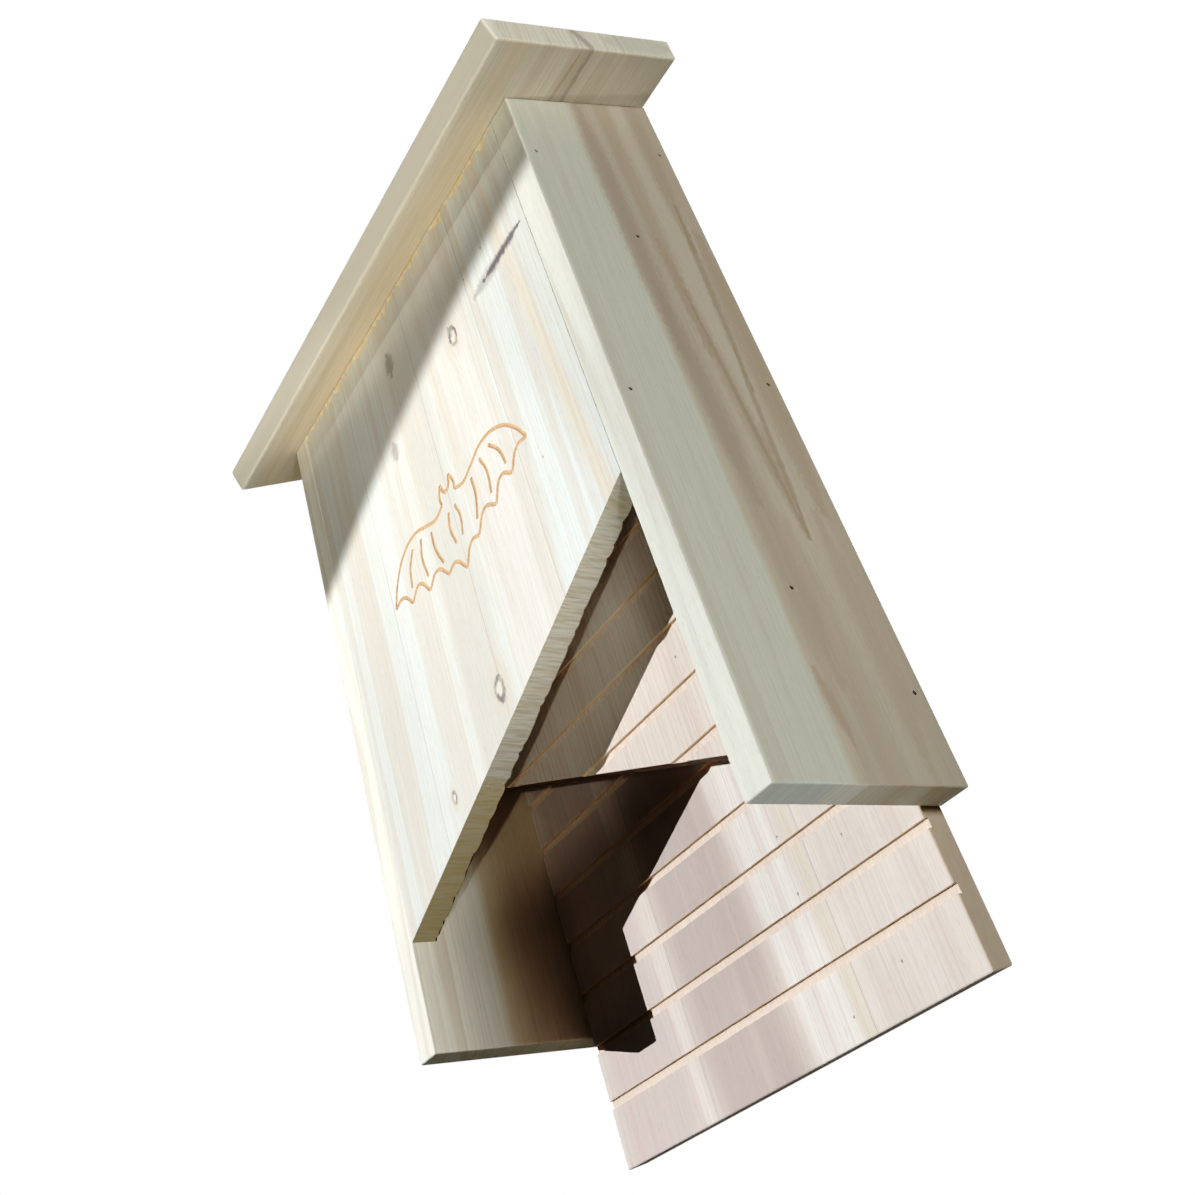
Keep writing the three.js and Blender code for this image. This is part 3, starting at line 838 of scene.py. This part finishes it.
right_fir = fir(
    "right_side_fir", early=(0.67, 0.69, 0.61, 1), late=(0.56, 0.52, 0.42, 1), streak=(0.60, 0.57, 0.48, 1),
    figure={"pith": (60, -300, 0), "lean": (0, 0, 0), "ring": 2.6, "wander": 2.4,
            "contrast": 0.25, "end_contrast": 0.5, "end_colour": (0.86, 0.90, 0.83, 1), "end_share": 0.9,
            "streak_range": (0.5, 0.66), "streak_share": 0.5, "across": "Y", "seed": 5.0},
    bands=((-18.5, 24.5, 1.4, 0.0, 1.0, (0.61, 0.55, 0.445, 1)),
           (-34, 6, 3, 0.0, 0.6, (0.50, 0.42, 0.34, 1)),
           (-3, 5, 3, 0.0, 0.5, (0.52, 0.43, 0.32, 1)),
           (-73, 1.0, 0.4, 0.0, 1.0, (0.84, 0.86, 0.79, 1))),
    lines=(flame(-17, 340, -18, 84, 8, 0.25, (0.62, 0.57, 0.48, 1)),
           flame(-26, 350, -25.5, 160, 6.5, 0.55),
           flame(-26.5, 215, -19.2, 84, 4.8, 0.55),
           flame(-9, 350, -10.4, 215, 6.0, 0.6),
           flame(-9, 240, -13.5, 145, 2.2, 0.65, (0.37, 0.29, 0.20, 1)),
           flame(-13.2, 165, -18.2, 83, 1.8, 0.65, (0.37, 0.30, 0.21, 1)),
           flame(-24.5, 190, -18.8, 84, 1.6, 0.6, (0.37, 0.30, 0.21, 1)),
           flame(-17.5, 130, -18, 92, 3.0, 0.4),
           flame(-38.4, 290, -37.5, 155, 7.0, 0.75, (0.42, 0.35, 0.28, 1)),
           flame(-37.5, 190, -34, 95, 6.5, 0.75, (0.42, 0.35, 0.28, 1)),
           flame(-35, 125, -33, 30, 6.0, 0.5, (0.46, 0.39, 0.30, 1)),
           flame(-4.5, 225, -7, 95, 8.0, 0.55, (0.45, 0.36, 0.25, 1)),
           flame(-41, 36, -38, 12, 2.6, 0.6),
           flame(-26, 90, -25, -25, 6.5, 0.3),
           flame(-11, 95, -12, 0, 6.0, 0.35),
           ((0, -72, 0), (0, -50, 0), (0, 1, 1), 1.0, 0.5, (0.60, 0.71, 0.73, 1)),
           ((0, -38, 0), (0, -3, 0), (0, 1, 1), 1.0, 0.5, (0.56, 0.46, 0.34, 1))))
left_fir = fir(
    "left_side_fir", early=(0.82, 0.80, 0.69, 1), late=(0.60, 0.48, 0.34, 1), streak=(0.66, 0.54, 0.41, 1),
    figure={"pith": (-140, -270, 0), "lean": (-0.02, 0.0, 0), "ring": 2.4, "wander": 2.4,
            "contrast": 0.3, "end_contrast": 0.5, "end_colour": (0.64, 0.66, 0.58, 1),
            "streak_range": (0.48, 0.64), "streak_share": 0.5, "across": "Y", "seed": 6.0},
    knots=(((0, -50, 190), 2.4, through_side),),
    bands=((-16, 26, 3, 0.02, 0.75, (0.62, 0.50, 0.37, 1)),
           # Painted light: this band makes the board's front part lighter, where light reaches in past the
           # front edge
           (-80, 22, 4, 0.0, 0.9, (0.95, 0.95, 0.86, 1))))
side_board("right_side_board", "right_board", 1, right_fir)
side_board("left_side_board", "left_board", -1, left_fir)

# Roof board
# One flat fir board with its grain across the box. Its corners are rounded over, its rear edge
# is cut plumb for the wall, and it is nailed down into the side boards.
roof_low, roof_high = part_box("roof_board")
side_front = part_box("right_side_board")[0].y
roof_along = Vector((0, 1, roof_slope)).normalized()
roof_thickness = 11 * MM
roof_front_overhang = 19.5 * MM
roof_rounding = 1.0 * MM
underside_rear = Vector((0, roof_high.y, roof_high.z - roof_thickness / roof_up.z))
roof_length = (roof_high.y - side_front) / roof_along.y + roof_front_overhang

# After the turn, the grain's X is the height turned over, and its Z runs across the box
grain_across_box = (0, math.radians(-90), 0)
roof_fir = fir(
    "roof_fir", early=(0.85, 0.79, 0.66, 1), late=(0.58, 0.47, 0.33, 1), streak=(0.68, 0.58, 0.44, 1),
    figure={"pith": (-250, -330, 0), "lean": (0.0, 0.02, 0), "ring": 2.6, "wander": 3.0,
            "contrast": 0.24, "end_contrast": 0.45, "end_colour": (0.95, 0.96, 0.86, 1),
            "streak_range": (0.45, 0.62), "streak_share": 0.42, "across": "Y", "seed": 9.0},
    bands=((-48, 5, 3, 0.0, 0.5, (0.66, 0.54, 0.43, 1)),
           (-80, 5, 3, 0.0, 0.45, (0.84, 0.70, 0.48, 1)),
           # Painted highlight: this band and the first line make the roof's front edge lighter
           (-95, 4, 1.5, 0.0, 1.0, (1.0, 0.98, 0.90, 1))),
    lines=(((0, -93, -400), (0, -93, 400), (0, 1, 1), 4.0, 0.8, (1.0, 0.98, 0.88, 1)),
           ((-296, -54, 0), (-285, -44, 0), (1, 1, 0), 2.6, 0.7, (0.42, 0.38, 0.33, 1)),
           ((-296, -36, 123.5), (-308, -3, 123.5), (1, 1, 1), 9.0, 0.45, (0.62, 0.60, 0.52, 1)),
           ((-284.5, -46, 119), (-283, -41, 124), (1, 1, 1), 2.0, 0.8, (0.28, 0.22, 0.16, 1)),
           ((-284, -52, 88), (-284, -50, 121), (0, 1, 1), 1.2, 0.5, (0.45, 0.35, 0.25, 1)),
           ((-250, -93, 68), (-249, -93, 68), (1, 1, 1), 0.7, 0.9, (0.20, 0.15, 0.12, 1)),
           ((-250, -93, 27), (-249, -93, 27), (1, 1, 1), 0.7, 0.9, (0.20, 0.15, 0.12, 1))),
    grain_turn=grain_across_box)

plank = blank(
    "roof_plank", roof_low - Vector((0, 0, roof_thickness)), roof_high + Vector((0, 0, overrun)))
saw_off(plank, Vector((0, roof_high.y, roof_high.z)), roof_up)
saw_off(plank, underside_rear, -roof_up)
saw_off(plank, underside_rear - roof_along * roof_length, -roof_along)
ease_edges(plank, roof_rounding, segments=4)
plank.data.materials.append(roof_fir)
roof_holes = []
for brad in sorted(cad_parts):
    if brad.startswith("roof_brad"):
        brad_low, brad_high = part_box(brad)
        middle = (brad_low + brad_high) / 2
        rise = (middle - underside_rear).dot(roof_up)
        roof_holes.append(brad_hole(middle + roof_up * (roof_thickness - rise), roof_up))
cut_away(plank, roof_holes)
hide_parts("roof_board")
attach(plank, "root")

# Brads
# Plain wire brads, gone dull, set just below the surface with a punch. Only their small round
# heads show, at the bottom of the holes in the side boards and the roof.


def brad_material():
    material, tree, shader = new_material("brad_steel")
    dull_roughness, rubbed_roughness = 0.55, 0.35
    place = add_node(tree, "ShaderNodeTexCoord").outputs["Object"]
    specks = {"Vector": place, "Scale": 2500.0, "Detail": 2.0}
    grime = add_node(tree, "ShaderNodeTexNoise", specks).outputs["Fac"]
    colour = mixed(tree, ramp(tree, grime, 0.35, 0.65), (0.16, 0.15, 0.14, 1), (0.30, 0.29, 0.28, 1))
    tree.links.new(colour, shader.inputs["Base Color"])
    rough = ramp(tree, grime, 0.3, 0.7, dull_roughness, rubbed_roughness)
    tree.links.new(rough, shader.inputs["Roughness"])
    shader.inputs["Metallic"].default_value = 1.0
    return material


brad_steel = brad_material()
for brad in sorted(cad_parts):
    if "_brad_" in brad:
        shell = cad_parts[brad]
        shell.data.materials.clear()
        shell.data.materials.append(brad_steel)

# Floor, light and camera
# A pale floor well below the hanging box. Ten lamps stand round it, most of them with a narrow
# beam for one side or part of it. The camera is close, below the box and at its right.
floor_drop = 1.2
floor_size = 30
floor_throw_back = 0.4
floor_glow = 0.8
sky_strength = 0.01


def floor_material():
    """Matt white studio floor, faintly uneven. It looks evenly lit, and throws little light back."""
    material, tree, shader = new_material("floor_paint")
    place = add_node(tree, "ShaderNodeTexCoord").outputs["Object"]
    clouds = {"Vector": place, "Scale": 1.5, "Detail": 3.0}
    cloudy = add_node(tree, "ShaderNodeTexNoise", clouds).outputs["Fac"]
    paint = mixed(tree, cloudy, (0.78, 0.78, 0.77, 1), (0.82, 0.82, 0.81, 1))
    tree.links.new(darkened(tree, paint, floor_throw_back), shader.inputs["Base Color"])
    shader.inputs["Roughness"].default_value = 0.8
    lit = add_node(tree, "ShaderNodeEmission", {"Color": paint, "Strength": floor_glow}).outputs[0]
    in_view = add_node(tree, "ShaderNodeLightPath").outputs["Is Camera Ray"]
    shown = add_node(tree, "ShaderNodeMixShader", {0: in_view, 1: shader.outputs[0], 2: lit})
    tree.links.new(shown.outputs[0], tree.nodes["Material Output"].inputs["Surface"])
    return material


deselect_all()
bpy.ops.mesh.primitive_plane_add(size=floor_size, location=(0, 0, back_low.z - floor_drop))
floor = bpy.context.object
floor.name = "floor"
floor.data.materials.append(floor_material())

world = bpy.data.worlds.new("studio")
world.use_nodes = True
bpy.context.scene.world = world
sky = world.node_tree
sky_light = sky.nodes["Background"]
sky_light.inputs["Color"].default_value = (1.0, 0.97, 0.90, 1)
sky_light.inputs["Strength"].default_value = sky_strength
sky_white = add_node(sky, "ShaderNodeBackground", {"Color": (1, 1, 1, 1), "Strength": 1.0})
seen = add_node(sky, "ShaderNodeLightPath").outputs["Is Camera Ray"]
both = add_node(sky, "ShaderNodeMixShader", {0: seen, 1: sky_light.outputs[0], 2: sky_white.outputs[0]})
sky.links.new(both.outputs[0], sky.nodes["World Output"].inputs["Surface"])


def hang_light(name, kind, place, target, power, colour):
    light = bpy.data.lights.new(name, kind)
    light.energy = power
    light.color = colour
    lamp = bpy.data.objects.new(name, light)
    lamp.location = place
    lamp.rotation_euler = (target - place).to_track_quat("-Z", "Y").to_euler()
    lamp.visible_camera = False
    bpy.context.collection.objects.link(lamp)
    return light


def beam_light(name, place, target, power, colour, radius, half_angle, soft_share):
    """A lamp with a round beam. The outer share of the beam fades out."""
    light = hang_light(name, "SPOT", place, target, power, colour)
    light.shadow_soft_size = radius
    light.spot_size = 2 * math.radians(half_angle)
    light.spot_blend = soft_share


def soft_light(name, place, target, power, colour, size):
    light = hang_light(name, "AREA", place, target, power, colour)
    light.shape = "DISK"
    light.size = size


# The key comes from the front left. Its beam has a crisp edge, which crosses the front panel
box_centre = (cad_low + cad_high) / 2
key_travel = Vector((0.585, 1, -0.15)).normalized()
key_distance = 2.5
beam_light(
    "key", place=box_centre - key_travel * key_distance, target=Vector((0.265, -0.073, -0.478)),
    power=262, colour=(0.99, 0.99, 0.99), radius=0.005, half_angle=15.2, soft_share=0.015)

# Warm light for the box's top: two beams from below, and a level one for the roof's front edge
spill_target = Vector((-0.036, -0.08, 0.565))
spill_travel = Vector((-0.013, 1, 1.2)).normalized()
spill_distance = 2
beam_light(
    "spill", place=spill_target - spill_travel * spill_distance, target=spill_target,
    power=42.5, colour=(1.0, 0.92, 0.73), radius=0.03, half_angle=11.14, soft_share=0.72)
beam_light(
    "roof_light", place=Vector((0.5, -0.25, -0.8)), target=Vector((0.02, -0.065, 0.3)),
    power=8.6, colour=(1.0, 0.95, 0.85), radius=0.03, half_angle=7.5, soft_share=0.5)
edge_light_target = Vector((0.03, -0.093, 1.195))
edge_light_travel = Vector((0.05, 1, -0.09)).normalized()
edge_light_distance = 2.5
beam_light(
    "edge_light", place=edge_light_target - edge_light_travel * edge_light_distance,
    target=edge_light_target,
    power=42, colour=(1, 0.93, 0.81), radius=0.005, half_angle=20, soft_share=0.03)

# Two beams from beside the lens light the chambers
lens_light_place = Vector((278.4, -309.4, -87.6)) * MM
beam_light(
    "lens_light", place=lens_light_place, target=Vector((-70, -73, 161.4)) * MM,
    power=1.52, colour=(1.0, 0.97, 0.9), radius=0.004, half_angle=15.5, soft_share=0.45)
beam_light(
    "low_light", place=lens_light_place, target=Vector((-88.5, -160, -28)) * MM,
    power=0.4, colour=(1.0, 0.97, 0.9), radius=0.004, half_angle=17.2, soft_share=0.42)

# A fill from the right, a weak bounce from below, and lamps for the rear and the roof's upper face
soft_light(
    "fill", place=Vector((1.2, -0.2, 0.18)), target=Vector((0.1, -0.04, 0.15)),
    power=7.2, colour=(1.0, 0.99, 0.92), size=0.3)
soft_light(
    "bounce", place=Vector((0.05, -0.12, -1.0)), target=Vector((0, -0.06, 0)),
    power=0.9, colour=(1.0, 0.95, 0.85), size=0.5)
beam_light(
    "rear_light", place=Vector((-0.7, 1.9, 1.2)), target=Vector((0, 0, 0.13)),
    power=120, colour=(1, 0.99, 0.96), radius=0.1, half_angle=8, soft_share=0.3)
beam_light(
    "top_light", place=Vector((-0.3, 0.5, 2.2)), target=Vector((0, -0.05, 0.29)),
    power=110, colour=(1, 0.99, 0.96), radius=0.05, half_angle=5, soft_share=0.5)

camera_place = Vector((321.4, -309.4, -124.1)) * MM
camera_right = Vector((0.48, 0.84246, -0.24466))
camera_down = Vector((-0.59778, 0.10998, -0.79408))
camera_forward = Vector((-0.64208, 0.52742, 0.55639))
lens_length = 41.01
lens_shift = (0.066, -0.0479)
sensor_width = 36
nearest_seen = 0.01
camera_data = bpy.data.cameras.new("camera")
camera_data.sensor_width = sensor_width
camera_data.lens = lens_length
camera_data.shift_x, camera_data.shift_y = lens_shift
camera_data.clip_start = nearest_seen
camera = bpy.data.objects.new("camera", camera_data)
turn = Matrix((camera_right, -camera_down, -camera_forward)).transposed().to_4x4()
camera.matrix_world = Matrix.Translation(camera_place) @ turn
bpy.context.collection.objects.link(camera)
bpy.context.scene.camera = camera

# The picture's tone curve draws deep shadows darker, and a little warmer, than they are
shadow_curve = ((0.05, 0.018), (0.10, 0.07), (0.17, 0.165), (0.3, 0.3))
green_curve = ((0.015, 0.0125), (0.04, 0.038), (0.08, 0.08), (0.3, 0.3))
blue_curve = ((0.009, 0.005), (0.03, 0.027), (0.06, 0.06), (0.3, 0.3))
look = bpy.context.scene.view_settings
look.view_transform = "Standard"
look.use_curve_mapping = True
for channel, curve in ((3, shadow_curve), (1, green_curve), (2, blue_curve)):
    for given_tone, shown_tone in curve:
        look.curve_mapping.curves[channel].points.new(given_tone, shown_tone)
look.curve_mapping.update()
